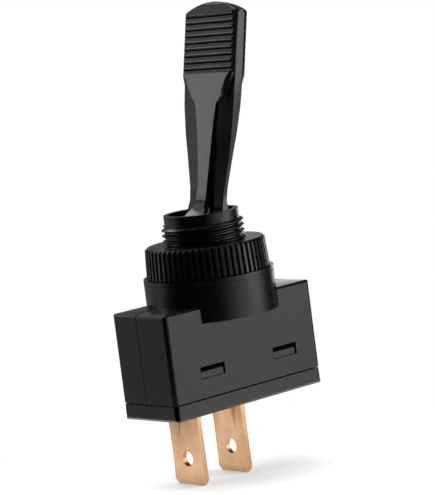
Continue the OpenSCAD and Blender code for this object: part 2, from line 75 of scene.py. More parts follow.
class Body(Enum):
    """The rigid bodies that the pieces ride on."""

    CASE = "body"
    LEVER = "lever"
    NUT = "nut"


class Slot(Enum):
    """The record's material slots."""

    CASE = "black_plastic"
    LEVER = "lever_plastic"
    SPRING = "spring_steel"
    COPPER = "blade_copper"


# ---------------------------------------------------------------------------- modelling bench


class Bench:
    """Edit-mode helpers shared by all the sub-assemblies."""

    @staticmethod
    def clear() -> None:
        """Deselects every object."""
        bpy.ops.object.select_all(action="DESELECT")

    @staticmethod
    def pick(piece: Object) -> None:
        """Makes one object the only selected and the active one.

        Args:
            piece: The object to pick.
        """
        Bench.clear()
        piece.select_set(True)
        bpy.context.view_layer.objects.active = piece

    @staticmethod
    def edit(piece: Object) -> None:
        """Opens a piece in edit mode with nothing selected.

        Args:
            piece: The object to edit.
        """
        Bench.pick(piece)
        bpy.ops.object.mode_set(mode="EDIT")
        bpy.ops.mesh.select_mode(type="VERT")
        bpy.ops.mesh.select_all(action="DESELECT")

    @staticmethod
    def close() -> None:
        """Leaves edit mode."""
        bpy.ops.object.mode_set(mode="OBJECT")

    @staticmethod
    def select_vertices(piece: Object, test: Callable[[Vector], bool]) -> None:
        """Selects the vertices that pass a test, and stays in edit mode.

        Args:
            piece: The object in edit mode.
            test: Says whether a vertex at this place is wanted.
        """
        bpy.ops.mesh.select_mode(type="VERT")
        bpy.ops.mesh.select_all(action="DESELECT")
        bpy.ops.object.mode_set(mode="OBJECT")
        for vertex in piece.data.vertices:
            vertex.select = test(vertex.co)
        bpy.ops.object.mode_set(mode="EDIT")

    @staticmethod
    def merged_copy(node: Object, name: str) -> Object:
        """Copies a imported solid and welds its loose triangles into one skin.

        Args:
            node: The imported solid's object, which is left alone.
            name: The new piece's name.

        Returns:
            The new piece, at the origin and on no body yet.
        """
        piece = bpy.data.objects.new(name, node.data.copy())
        bpy.context.scene.collection.objects.link(piece)
        Bench.edit(piece)
        bpy.ops.mesh.customdata_custom_splitnormals_clear()
        bpy.ops.mesh.select_all(action="SELECT")
        bpy.ops.mesh.remove_doubles(threshold=SAME)
        bpy.ops.mesh.dissolve_limited(angle_limit=math.radians(0.3))
        Bench.close()
        return piece

    @staticmethod
    def polyline(name: str, points: list[tuple[float, float]]) -> Object:
        """Draws an open line in the XZ plane by extruding one vertex from point to point.

        Args:
            name: The new object's name.
            points: Distances from the axis and heights, in metres.

        Returns:
            The line's object.
        """
        Bench.clear()
        bpy.ops.mesh.primitive_plane_add(size=MM, location=(0, 0, 0))
        line = bpy.context.active_object
        line.name = line.data.name = name
        bpy.ops.object.mode_set(mode="EDIT")
        bpy.ops.mesh.select_mode(type="VERT")
        bpy.ops.mesh.select_all(action="SELECT")
        bpy.ops.mesh.merge(type="CENTER")
        bpy.ops.mesh.select_all(action="SELECT")
        bpy.ops.transform.translate(value=(points[0][0], 0, points[0][1]))
        for before, after in zip(points, points[1:]):
            step = (after[0] - before[0], 0, after[1] - before[1])
            bpy.ops.mesh.extrude_vertices_move(TRANSFORM_OT_translate={"value": step})
        Bench.close()
        return line

    @staticmethod
    def flatten(piece: Object) -> None:
        """Lets the large faces stay flat where small ones turn between them.

        Args:
            piece: A piece that is shaded smooth.
        """
        Bench.pick(piece)
        weighing = piece.modifiers.new("weighing", "WEIGHTED_NORMAL")
        weighing.keep_sharp = True
        weighing.weight = 90
        bpy.ops.object.modifier_apply(modifier=weighing.name)

    @staticmethod
    def dress(piece: Object, angle: float, material: Material, slot: Slot) -> None:
        """Shades a piece and gives it its one material.

        Args:
            piece: The object to dress.
            angle: The largest angle that is shaded smooth, in degrees.
            material: The finish.
            slot: The record's slot; not used.
        """
        Bench.pick(piece)
        bpy.ops.object.shade_smooth_by_angle(angle=math.radians(angle))
        piece.data.materials.clear()
        piece.data.materials.append(material)
        LOG.info("%s: %d faces", piece.name, len(piece.data.polygons))


# ---------------------------------------------------------------------------- shader bench


@dataclass
class Wiring:
    """Adds and joins nodes in one tree.

    Args:
        tree: The node tree that is wired.
    """

    tree: NodeTree

    def node(self, kind: str, label: str = "", **values: object) -> Node:
        """Adds a node and sets its properties.

        Args:
            kind: The node's type, without its ShaderNode prefix.
            label: Words shown on the node.
            values: Properties of the node by name.

        Returns:
            The new node.
        """
        new = self.tree.nodes.new("ShaderNode" + kind)
        new.label = label
        for name, value in values.items():
            setattr(new, name, value)
        return new

    def join(self, source: NodeSocket, target: NodeSocket) -> None:
        """Links an output to an input."""
        self.tree.links.new(source, target)

    def math(self, operation: str, *values: object, clamp: bool = False) -> NodeSocket:
        """Adds a Math node.

        Args:
            operation: The node's operation.
            values: A socket or a number for each input.
            clamp: Whether the result is kept between 0 and 1.

        Returns:
            The node's output.
        """
        new = self.node("Math", operation=operation, use_clamp=clamp)
        for target, value in zip(new.inputs, values):
            self.feed(value, target)
        return new.outputs[0]

    def feed(self, value: object, target: NodeSocket) -> None:
        """Links a socket to an input, or writes a plain value on it."""
        if isinstance(value, NodeSocket):
            self.join(value, target)
        else:
            target.default_value = value

    def mix(self, share: object, first: object, second: object) -> NodeSocket:
        """Mixes two colours.

        Args:
            share: How much of the second colour shows.
            first: A socket or a colour.
            second: A socket or a colour.

        Returns:
            The mixed colour.
        """
        new = self.node("Mix", data_type="RGBA")
        self.feed(share, new.inputs[0])
        self.feed(first, new.inputs[6])
        self.feed(second, new.inputs[7])
        return new.outputs[2]

    def noise(self, place: NodeSocket, scale: object, detail: float, roughness: float = 0.5) -> NodeSocket:
        """Adds a Noise Texture node.

        Args:
            place: Where the noise is read.
            scale: A socket or a number, per metre.
            detail: How many finer layers it has.
            roughness: How strong those are.

        Returns:
            The noise from 0 to 1.
        """
        new = self.node("TexNoise")
        self.join(place, new.inputs["Vector"])
        self.feed(scale, new.inputs["Scale"])
        new.inputs["Detail"].default_value = detail
        new.inputs["Roughness"].default_value = roughness
        return new.outputs[0]

    def bump(
        self, height: NodeSocket, strength: float, distance: float,
        shader: Node, normal: NodeSocket | None = None
    ) -> None:
        """Roughens a shader's skin.

        Args:
            height: The skin's height.
            strength: How much of it shows.
            distance: Its depth in metres.
            shader: The shader that takes it.
            normal: The normal that it starts from.
        """
        new = self.node("Bump")
        new.inputs["Strength"].default_value = strength
        new.inputs["Distance"].default_value = distance
        self.join(height, new.inputs["Height"])
        if normal is not None:
            self.join(normal, new.inputs["Normal"])
        self.join(new.outputs[0], shader.inputs["Normal"])

    def band(
        self, value: NodeSocket, low: float, high: float, out_low: float = 0.0, out_high: float = 1.0
    ) -> NodeSocket:
        """Maps a value smoothly from one range to another.

        Args:
            value: The value to map.
            low: Where the source range starts.
            high: Where it ends.
            out_low: The result at low.
            out_high: The result at high.

        Returns:
            The mapped value.
        """
        new = self.node("MapRange", interpolation_type="SMOOTHSTEP")
        self.join(value, new.inputs["Value"])
        ends = {"From Min": low, "From Max": high, "To Min": out_low, "To Max": out_high}
        for name, number in ends.items():
            new.inputs[name].default_value = number
        return new.outputs[0]


def open_group(
    name: str, inputs: dict[str, float], outputs: dict[str, str]
) -> tuple[NodeTree, Node, Node]:
    """Starts a shader node group with named sockets.

    Args:
        name: The group's name.
        inputs: The inputs' names and values, all plain numbers.
        outputs: The outputs' names and types.

    Returns:
        The group's tree, its input node and its output node.
    """
    tree = bpy.data.node_groups.new(name, "ShaderNodeTree")
    for title, value in inputs.items():
        socket = tree.interface.new_socket(name=title, in_out="INPUT", socket_type="NodeSocketFloat")
        socket.default_value = value
    for title, kind in outputs.items():
        tree.interface.new_socket(name=title, in_out="OUTPUT", socket_type=kind)
    return tree, tree.nodes.new("NodeGroupInput"), tree.nodes.new("NodeGroupOutput")


def open_material(name: str) -> tuple[Material, Wiring, Node]:
    """Starts a material.

    Args:
        name: The material's name.

    Returns:
        The material, its wiring and its shader.
    """
    material = bpy.data.materials.new(name)
    material.use_nodes = True
    return material, Wiring(material.node_tree), material.node_tree.nodes["Principled BSDF"]


class SurfaceEffects:
    """The shader node groups that the finishes share, each built once."""

    def __init__(self) -> None:
        """Builds every group."""
        self.grain = self.moulded_grain()
        self.wear = self.edge_wear()
        self.dust = self.settled_dust()
        self.scuffs = self.fine_scuffs()

    def moulded_grain(self) -> NodeTree:
        """Builds the faint spark-eroded texture of a moulding tool.

        Returns:
            A group that puts out a height and a mottle from 0 to 1.
        """
        tree, given, out = open_group(
            "Moulded grain",
            {"Grain per metre": 9000.0, "Flow per metre": 260.0},
            {"Height": "NodeSocketFloat", "Mottle": "NodeSocketFloat"},
        )
        wire = Wiring(tree)
        place = wire.node("TexCoord").outputs["Object"]
        fine = wire.noise(place, given.outputs["Grain per metre"], 2.0)
        broad = wire.noise(place, given.outputs["Flow per metre"], 3.0)
        height = wire.math("MULTIPLY_ADD", fine, 0.7, wire.math("MULTIPLY", broad, 0.3))
        wire.join(height, out.inputs["Height"])
        wire.join(wire.band(broad, 0.3, 0.7), out.inputs["Mottle"])
        return tree

    def edge_wear(self) -> NodeTree:
        """Builds a mask of the edges that fingers and fitting rub bright.

        Returns:
            A group that puts out a mask and the rounded normal.
        """
        tree, given, out = open_group(
            "Edge wear",
            {"Radius": 0.1 * MM, "Patchiness per metre": 900.0},
            {"Mask": "NodeSocketFloat", "Normal": "NodeSocketVector"},
        )
        wire = Wiring(tree)
        rounded = wire.node("Bevel", samples=8)
        wire.join(given.outputs["Radius"], rounded.inputs["Radius"])
        flat = wire.node("NewGeometry").outputs["Normal"]
        likeness = wire.node("VectorMath", operation="DOT_PRODUCT")
        wire.join(rounded.outputs[0], likeness.inputs[0])
        wire.join(flat, likeness.inputs[1])
        edge = wire.band(likeness.outputs["Value"], 0.999, 0.86)
        place = wire.node("TexCoord").outputs["Object"]
        patches = wire.noise(place, given.outputs["Patchiness per metre"], 4.0)
        uneven = wire.band(patches, 0.35, 0.65, 0.35, 1.0)
        wire.join(wire.math("MULTIPLY", edge, uneven), out.inputs["Mask"])
        wire.join(rounded.outputs[0], out.inputs["Normal"])
        return tree

    def settled_dust(self) -> NodeTree:
        """Builds a thin film of dust and lint specks on the faces that look up.

        Returns:
            A group that puts out a mask.
        """
        tree, given, out = open_group(
            "Settled dust",
            {"Specks per metre": 2600.0, "Amount": 1.0},
            {"Mask": "NodeSocketFloat"},
        )
        wire = Wiring(tree)
        place = wire.node("TexCoord").outputs["Object"]
        specks = wire.noise(place, given.outputs["Specks per metre"], 5.0, 0.7)
        split = wire.node("SeparateXYZ")
        wire.join(wire.node("NewGeometry").outputs["Normal"], split.inputs[0])
        upward = wire.band(split.outputs["Z"], 0.2, 0.95, 0.12, 1.0)
        speck = wire.band(specks, 0.56, 0.78)
        mask = wire.math("MULTIPLY", speck, upward)
        wire.join(wire.math("MULTIPLY", mask, given.outputs["Amount"], clamp=True), out.inputs["Mask"])
        return tree

    def fine_scuffs(self) -> NodeTree:
        """Builds hair-fine scuffs that run two ways over a surface.

        Returns:
            A group that puts out a mask.
        """
        tree, given, out = open_group(
            "Fine scuffs",
            {"Scuffs per metre": 700.0, "Stretch": 0.06},
            {"Mask": "NodeSocketFloat"},
        )
        wire = Wiring(tree)
        place = wire.node("TexCoord").outputs["Object"]
        lines = []
        for turn in (0.35, -0.6):
            turned = wire.node("Mapping")
            wire.join(place, turned.inputs["Vector"])
            turned.inputs["Rotation"].default_value = (turn, turn * 0.5, turn * 1.3)
            stretch = wire.node("CombineXYZ")
            stretch.inputs[0].default_value = 1.0
            stretch.inputs[1].default_value = 1.0
            wire.join(given.outputs["Stretch"], stretch.inputs[2])
            wire.join(stretch.outputs[0], turned.inputs["Scale"])
            noise = wire.noise(turned.outputs[0], given.outputs["Scuffs per metre"], 6.0, 0.75)
            lines.append(wire.band(noise, 0.6, 0.72))
        wire.join(wire.math("MAXIMUM", *lines), out.inputs["Mask"])
        return tree


@dataclass(frozen=True)
class BlackMoulding:
    """Black moulded plastic with its grain, rubbed edges, scuffs and dust.

    Args:
        name: The material's name.
        colour: The plastic's own colour.
        rubbed: The colour of its rubbed edges.
        roughness: How matt the skin is.
        grain: Depth of the moulded grain in metres.
        edge: Radius of the edges' rounding in metres.
    """

    name: str
    colour: tuple[float, float, float, float]
    rubbed: tuple[float, float, float, float]
    roughness: float
    grain: float
    edge: float

    def build(self, effects: SurfaceEffects) -> Material:
        """Builds the material with the shared node groups."""
        material, wire, shader = open_material(self.name)
        grain = wire.node("Group", "grain", node_tree=effects.grain)
        wear = wire.node("Group", "wear", node_tree=effects.wear)
        wear.inputs["Radius"].default_value = self.edge
        dust = wire.node("Group", "dust", node_tree=effects.dust)
        scuffs = wire.node("Group", "scuffs", node_tree=effects.scuffs)
        shade = tuple(0.75 * part for part in self.colour[:3]) + (1.0,)
        colour = wire.mix(grain.outputs["Mottle"], self.colour, shade)
        colour = wire.mix(wire.math("MULTIPLY", wear.outputs["Mask"], 0.6), colour, self.rubbed)
        colour = wire.mix(wire.math("MULTIPLY", dust.outputs["Mask"], 0.1), colour, (0.35, 0.34, 0.32, 1.0))
        wire.join(colour, shader.inputs["Base Color"])
        rough = wire.math("MULTIPLY_ADD", grain.outputs["Mottle"], 0.05, self.roughness)
        rough = wire.math("ADD", rough, wire.math("MULTIPLY", scuffs.outputs["Mask"], 0.08))
        rough = wire.math("ADD", rough, wire.math("MULTIPLY", dust.outputs["Mask"], 0.12))
        wire.join(rough, shader.inputs["Roughness"])
        wire.bump(grain.outputs["Height"], 0.35, self.grain, shader, wear.outputs["Normal"])
        return material


@dataclass(frozen=True)
class StampedMetal:
    """Bare stamped or drawn metal with its rolling lines, rubbed edges and a breath of tarnish.

    Args:
        name: The material's name.
        colour: The clean metal's colour.
        tarnish: The colour of its tarnish.
        roughness: How matt the metal is.
        edge: Radius of the edges' rounding in metres.
        rolling: Depth of the rolling lines in metres.
    """

    name: str
    colour: tuple[float, float, float, float]
    tarnish: tuple[float, float, float, float]
    roughness: float
    edge: float = 0.06 * MM
    rolling: float = 0.004 * MM

    def build(self, effects: SurfaceEffects) -> Material:
        """Builds the material with the shared node groups."""
        material, wire, shader = open_material(self.name)
        shader.inputs["Metallic"].default_value = 1.0
        wear = wire.node("Group", "wear", node_tree=effects.wear)
        wear.inputs["Radius"].default_value = self.edge
        scuffs = wire.node("Group", "scuffs", node_tree=effects.scuffs)
        scuffs.inputs["Stretch"].default_value = 0.03
        grain = wire.node("Group", "grain", node_tree=effects.grain)
        grain.inputs["Flow per metre"].default_value = 420.0
        stretched = wire.node("Mapping", "rolling lines")
        wire.join(wire.node("TexCoord").outputs["Object"], stretched.inputs["Vector"])
        stretched.inputs["Scale"].default_value = (1.0, 1.0, 0.015)
        lines = wire.noise(stretched.outputs[0], 9000.0, 3.0)
        tarnished = wire.math("MULTIPLY", grain.outputs["Mottle"], 0.55)
        colour = wire.mix(tarnished, self.colour, self.tarnish)
        bright = tuple(min(1.0, part * 1.12) for part in self.colour[:3]) + (1.0,)
        colour = wire.mix(wire.math("MULTIPLY", wear.outputs["Mask"], 0.7), colour, bright)
        wire.join(colour, shader.inputs["Base Color"])
        rough = wire.math("MULTIPLY_ADD", lines, 0.1, self.roughness)
        rough = wire.math("ADD", rough, wire.math("MULTIPLY", scuffs.outputs["Mask"], 0.1))
        wire.join(rough, shader.inputs["Roughness"])
        wire.bump(lines, 0.4, self.rolling, shader, wear.outputs["Normal"])
        return material


@dataclass(frozen=True)
class PaleNylon:
    """Milky nylon that lets a little light in.

    Args:
        name: The material's name.
        colour: The nylon's colour.
    """

    name: str
    colour: tuple[float, float, float, float]

    def build(self, effects: SurfaceEffects) -> Material:
        """Builds the material with the shared node groups."""
        material, wire, shader = open_material(self.name)
        shader.inputs["Roughness"].default_value = 0.45
        shader.inputs["Subsurface Weight"].default_value = 0.15
        shader.inputs["Subsurface Radius"].default_value = (0.0008, 0.0007, 0.0005)
        grain = wire.node("Group", "grain", node_tree=effects.grain)
        shade = tuple(0.88 * part for part in self.colour[:3]) + (1.0,)
        wire.join(wire.mix(grain.outputs["Mottle"], self.colour, shade), shader.inputs["Base Color"])
        wire.bump(grain.outputs["Height"], 0.3, 0.01 * MM, shader)
        return material


@dataclass
class Finishes:
    """All the switch's finishes.

    Args:
        effects: The shared node groups.
    """

    effects: SurfaceEffects
    case: Material = field(init=False)
    base: Material = field(init=False)
    nut: Material = field(init=False)
    lever: Material = field(init=False)
    steel: Material = field(init=False)
    spring: Material = field(init=False)
    brass: Material = field(init=False)
    silver: Material = field(init=False)
    copper: Material = field(init=False)
    nylon: Material = field(init=False)

    def __post_init__(self) -> None:
        """Builds each material once."""
        black = (0.0045, 0.0045, 0.0048, 1.0)
        rubbed = (0.012, 0.012, 0.0125, 1.0)
        mouldings = {
            "case": ("Housing moulding", 0.24, 0.012 * MM, 0.05 * MM),
            "base": ("Base moulding", 0.26, 0.012 * MM, 0.05 * MM),
            "nut": ("Nut moulding", 0.24, 0.01 * MM, 0.08 * MM),
            "lever": ("Lever moulding", 0.13, 0.003 * MM, 0.12 * MM),
        }
        for role, (name, roughness, grain, edge) in mouldings.items():
            finish = BlackMoulding(name, black, rubbed, roughness, grain, edge)
            setattr(self, role, finish.build(self.effects))
        metals = {
            "steel": ("Pin steel", (0.62, 0.62, 0.63, 1.0), (0.45, 0.44, 0.42, 1.0), 0.25),
            "spring": ("Spring wire", (0.55, 0.56, 0.58, 1.0), (0.4, 0.39, 0.37, 1.0), 0.22, 0.03 * MM),
            "brass": ("Rocker brass", (0.84, 0.62, 0.3, 1.0), (0.6, 0.4, 0.18, 1.0), 0.3),
            "silver": ("Contact silver", (0.86, 0.86, 0.84, 1.0), (0.6, 0.58, 0.52, 1.0), 0.28),
            "copper": ("Blade copper", (0.76, 0.48, 0.285, 1.0), (0.6, 0.34, 0.18, 1.0), 0.34),
        }
        for role, look in metals.items():
            setattr(self, role, StampedMetal(*look).build(self.effects))
        self.nylon = PaleNylon("Plunger nylon", (0.78, 0.75, 0.66, 1.0)).build(self.effects)


# ---------------------------------------------------------------------------- sub-assemblies


@dataclass
class Assembly:
    """A group of the switch's pieces.

    Args:
        nodes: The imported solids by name.
        finishes: The switch's materials.
    """

    nodes: dict[str, Object]
    finishes: Finishes


@dataclass
class CaseMoulding(Assembly):
    """The housing with its cut thread, and the base that snaps into it.

    Args:
        thread_r: Radius over the thread's crests.
        thread_top: Height at which the thread ends under the plain ring.
        pitch: Rise of the thread in one turn.
        depth: Depth of the thread.
        flank: Slope of the thread's flanks in degrees.
        core_r: Radius of the sleeve's inner wall.
        skin_gap: How far the drawn-in neck stays inside the sleeve.
        turn_steps: Steps round one turn of the thread.
        parting_y: Where the mould's halves met.
        parting_w: Half the width of the fine groove along that line, and its depth.
        seam_more: How far the ledge under the groove round the base is dropped.
        seam_deep: How far the groove's foot is drawn in, so that its wall leans and stays dark.
        soft_angle: Edges up to this many degrees are shaded smooth.
        thread_soft_angle: The same for the thread.
    """

    thread_r: float = 5.95 * MM
    thread_top: float = 7.25 * MM
    pitch: float = 25.4 / 32 * MM
    depth: float = 0.47 * MM
    flank: float = 30
    core_r: float = 5.37 * MM
    skin_gap: float = 0.02 * MM
    turn_steps: int = 96
    parting_y: float = 0.5 * MM
    parting_w: float = 0.07 * MM
    seam_more: float = 0.05 * MM
    seam_deep: float = 0.5 * MM
    soft_angle: float = 32
    thread_soft_angle: float = 35

    def build(self) -> None:
        """Builds the threaded housing and dresses the base."""
        housing = Bench.merged_copy(self.nodes["housing"], "threaded_housing")
        self.slim_neck(housing)
        self.scribe_parting_line(housing)
        Bench.dress(housing, self.soft_angle, self.finishes.case, Slot.CASE)
        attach(housing, Body.CASE.value)
        thread = self.cut_thread()
        Bench.dress(thread, self.thread_soft_angle, self.finishes.case, Slot.CASE)
        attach(thread, Body.CASE.value)
        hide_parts("housing")
        base = Bench.merged_copy(self.nodes["base"], "snap_base")
        self.open_seam(base)
        Bench.dress(base, self.soft_angle, self.finishes.base, Slot.CASE)
        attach(base, Body.CASE.value)
        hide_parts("base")

    def open_seam(self, base: Object) -> None:
        """Drops the ledge under the groove between housing and base, so that the groove reads.

        Args:
            base: The merged copy of the base.
        """
        places = [vertex.co.copy() for vertex in base.data.vertices]
        rim = 0.05 * MM
        widest = max(place.x for place in places)
        deepest = max(place.y for place in places) - rim
        ledge = max(place.z for place in places if place.x > widest - NEAR)
        low = ledge - self.seam_more

        def in_groove(place: Vector) -> bool:
            """Says whether a vertex lies along the groove's inner foot."""
            return abs(place.z - low) < NEAR and abs(place.x) < widest - rim and abs(place.y) < deepest

        Bench.edit(base)
        Bench.select_vertices(base, lambda place: abs(place.z - ledge) < NEAR)
        bpy.ops.transform.translate(value=(0, 0, -self.seam_more))
        Bench.select_vertices(base, in_groove)
        share = Vector((1 - self.seam_deep / widest, 1 - self.seam_deep / deepest, 1))
        bpy.ops.transform.resize(value=share, center_override=(0, 0, 0))
        Bench.close()

    def slim_neck(self, housing: Object) -> None:
        """Draws the plain neck's skin in, so that the thread can be cut over it.

        Args:
            housing: The merged copy of the housing.
        """

        def on_neck(place: Vector) -> bool:
            """Says whether a vertex lies on the neck's outside."""
            apart = abs(math.hypot(place.x, place.y) - self.thread_r)
            return apart < self.skin_gap and -NEAR < place.z < self.thread_top + NEAR

        Bench.edit(housing)
        Bench.select_vertices(housing, on_neck)
        share = (self.core_r - self.skin_gap) / self.thread_r
        bpy.ops.transform.resize(value=(share, share, 1), center_override=(0, 0, 0))
        Bench.close()

    def scribe_parting_line(self, housing: Object) -> None:
        """Scribes the mould's parting line down both end faces and over both shoulders.

        Args:
            housing: The merged copy of the housing.
        """
        places = [vertex.co.copy() for vertex in housing.data.vertices]
        end_x = max(place.x for place in places)
        collar_r = max(math.hypot(place.x, place.y) for place in places if place.z > -NEAR)
        shoulder = max(place.z for place in places if abs(place.x) > collar_r + 2 * MM)
        cut_reach = 0.001 * MM
        Bench.edit(housing)
        for step in (-1, 0, 1):
            beside = self.parting_y + step * self.parting_w
            bpy.ops.mesh.select_all(action="SELECT")
            bpy.ops.mesh.bisect(plane_co=(0, beside, 0), plane_no=(0, 1, 0), threshold=cut_reach)
        inwards = (
            ((self.parting_w, 0, 0), lambda place: place.x < NEAR - end_x),
            ((-self.parting_w, 0, 0), lambda place: place.x > end_x - NEAR),
            ((0, 0, -self.parting_w), lambda place: place.z > shoulder - NEAR and abs(place.x) > collar_r),
        )
        for move, on_face in inwards:
            Bench.select_vertices(
                housing, lambda place: abs(place.y - self.parting_y) < SAME and on_face(place)
            )
            bpy.ops.transform.translate(value=move)
        Bench.close()

    def cut_thread(self) -> Object:
        """Sweeps the thread's profile up the neck and trims it flat at both ends.

        Returns:
            The thread as one closed sleeve.
        """
        root = self.thread_r - self.depth
        flank = self.depth * math.tan(math.radians(self.flank))
        crest = self.pitch / 8
        foot = (self.pitch - crest - 2 * flank) / 2
        start = -1.5 * self.pitch
        heights = [0, foot, foot + flank, foot + flank + crest, foot + 2 * flank + crest, self.pitch]
        radii = [root, root, self.thread_r, self.thread_r, root, root]
        thread = Bench.polyline("neck_thread", [(r, start + h) for r, h in zip(radii, heights)])
        screw = thread.modifiers.new("sweep", "SCREW")
        screw.angle = math.tau
        screw.screw_offset = self.pitch
        screw.iterations = math.ceil((self.thread_top - start) / self.pitch) + 1
        screw.steps = screw.render_steps = self.turn_steps
        screw.use_merge_vertices = False
        Bench.pick(thread)
        bpy.ops.object.modifier_apply(modifier=screw.name)
        Bench.edit(thread)
        bpy.ops.mesh.select_all(action="SELECT")
        bpy.ops.mesh.remove_doubles(threshold=0.003 * MM)
        for height, facing in ((0.0, -1.0), (self.thread_top, 1.0)):
            bpy.ops.mesh.select_all(action="SELECT")
            bpy.ops.mesh.bisect(plane_co=(0, 0, height), plane_no=(0, 0, facing), clear_outer=True)
        self.close_sleeve(thread)
        return thread

    def close_sleeve(self, thread: Object) -> None:
        """Turns the trimmed thread's two open ends in and joins them down the inside.

        Args:
            thread: The thread's object, in edit mode.
        """

        def select_rims() -> None:
            """Selects the open edges."""
            bpy.ops.mesh.select_mode(type="EDGE")
            bpy.ops.mesh.select_all(action="DESELECT")
            bpy.ops.mesh.select_non_manifold(
                extend=False,
                use_wire=False,
                use_boundary=True,
                use_multi_face=False,
                use_non_contiguous=False,
                use_verts=False,
            )

        select_rims()
        share = self.core_r / self.thread_r
        bpy.ops.mesh.extrude_edges_move()
        bpy.ops.transform.resize(value=(share, share, 1), center_override=(0, 0, 0))
        select_rims()
        bpy.ops.mesh.bridge_edge_loops()
        bpy.ops.mesh.select_all(action="SELECT")
        bpy.ops.mesh.normals_make_consistent(inside=False)
        Bench.close()


@dataclass
class GripNut(Assembly):
    """The toothed ring nut.

    Args:
        soft_angle: Edges up to this many degrees are shaded smooth.
    """

    soft_angle: float = 25

    def build(self) -> None:
        """Dresses the nut, with its teeth's round sides shaded smooth."""
        nut = Bench.merged_copy(self.nodes["ring_nut"], "grip_nut")
        Bench.dress(nut, self.soft_angle, self.finishes.nut, Slot.CASE)
        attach(nut, Body.NUT.value)
        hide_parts("ring_nut")


@dataclass
class DuckbillLever(Assembly):
    """The lever with its ridged pads.

    Args:
        soft_angle: Edges up to this many degrees are shaded smooth.
    """

    soft_angle: float = 40

    def build(self) -> None:
        """Dresses the lever, with its large faces kept flat."""
        lever = Bench.merged_copy(self.nodes["lever"], "duckbill_lever")
        Bench.dress(lever, self.soft_angle, self.finishes.lever, Slot.LEVER)
        Bench.flatten(lever)
        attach(lever, Body.LEVER.value)
        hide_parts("lever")


@dataclass
class SwitchWorks(Assembly):
    """The blades, the contacts, the rocker, the plunger, its spring and the pin.

    Args:
        ramp_down: How much further down each blade's pressed ramp reaches.
        ramp_in: How much further its head is pressed.
        ramp_half_w: Less than half the ramp's width, and more than half its head's.
        plunger_travel: How far the plunger slides, with a little over; not used.
        soft_angle: Edges up to this many degrees are shaded smooth on the blades.
        wire_soft_angle: The same for the spring's wire.
    """

    ramp_down: float = 2.0 * MM
    ramp_in: float = 0.2 * MM
    ramp_half_w: float = 1.3 * MM
    plunger_travel: float = 0.85 * MM
    soft_angle: float = 32
    wire_soft_angle: float = 60

    def build(self) -> None:
        """Presses the blades' ramps, copies and dresses the spring, and dresses the other solids as they
        are.
        """
        self.press_ramp("common_terminal", -self.ramp_in)
        self.press_ramp("load_terminal", self.ramp_in)
        self.load_spring()
        plan = {
            "fixed_contact_rivet": self.finishes.silver,
            "moving_contact_rivet": self.finishes.silver,
            "rocker_contact": self.finishes.brass,
            "plunger": self.finishes.nylon,
            "pivot_pin": self.finishes.steel,
        }
        for name, material in plan.items():
            self.nodes[name].data.materials.clear()
            self.nodes[name].data.materials.append(material)
            LOG.info("%s: %s", name, material.name)

    def load_spring(self) -> None:
        """Copies the spring, dresses it and attaches it to the lever."""
        spring = Bench.merged_copy(self.nodes["plunger_spring"], "coil_spring")
        Bench.dress(spring, self.wire_soft_angle, self.finishes.spring, Slot.SPRING)
        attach(spring, Body.LEVER.value)
        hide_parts("plunger_spring")
        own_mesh(spring)

    def press_ramp(self, name: str, inwards: float) -> None:
        """Copies a blade, and makes its pressed ramp longer and deeper.

        Args:
            name: The blade's node.
            inwards: How much further along X the ramp's head is pressed.
        """
        blade = Bench.merged_copy(self.nodes[name], f"{name}_blade")
        widest = 1.2 * self.ramp_half_w
        base_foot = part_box("base")[0][2]
        outside = [vertex.co for vertex in blade.data.vertices if vertex.co.z < base_foot]
        foot_z = min(place.z for place in outside if self.ramp_half_w < abs(place.y) < widest)
        head_z = max(place.z for place in outside)

        def on_foot(place: Vector) -> bool:
            """Says whether a vertex lies along the ramp's foot."""
            return abs(place.z - foot_z) < NEAR and abs(place.y) < widest

        def on_head(place: Vector) -> bool:
            """Says whether a vertex lies along the ramp's pressed head."""
            return abs(place.z - head_z) < NEAR and abs(place.y) < self.ramp_half_w

        Bench.edit(blade)
        Bench.select_vertices(blade, on_foot)
        bpy.ops.transform.translate(value=(0, 0, -self.ramp_down))
        Bench.select_vertices(blade, on_head)
        bpy.ops.transform.translate(value=(inwards, 0, 0))
        Bench.close()
        Bench.dress(blade, self.soft_angle, self.finishes.copper, Slot.COPPER)
        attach(blade, Body.CASE.value)
        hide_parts(name)


# ---------------------------------------------------------------------------- studio


@dataclass(frozen=True)
class Softbox:
    """One rectangular lamp, placed round the camera's own line of sight.

    Args:
        name: The lamp's name.
        bearing: Degrees to the right of the camera, seen from the switch.
        height: Degrees above the switch.
        distance: Metres from the switch.
        size: Width and height in metres.
        power: Watts.
    """

    name: str
    bearing: float
    height: float
    distance: float
    size: tuple[float, float]
    power: float

    def light(self, camera_azimuth: float, aim: Vector) -> None:
        """Hangs the lamp so that it faces the switch.

        Args:
            camera_azimuth: The camera's own azimuth in degrees.
            aim: The point that the lamp faces.
        """
        Bench.clear()
        turn = math.radians(camera_azimuth + self.bearing)
        rise = math.radians(self.height)
        away = Vector((math.sin(turn) * math.cos(rise), -math.cos(turn) * math.cos(rise), math.sin(rise)))
        bpy.ops.object.light_add(type="AREA", location=aim + away * self.distance)
        lamp = bpy.context.active_object
        lamp.name = self.name
        lamp.rotation_euler = away.to_track_quat("Z", "Y").to_euler()
        lamp.data.shape = "RECTANGLE"
        lamp.data.size, lamp.data.size_y = self.size
        lamp.data.energy = self.power
        lamp.visible_glossy = False


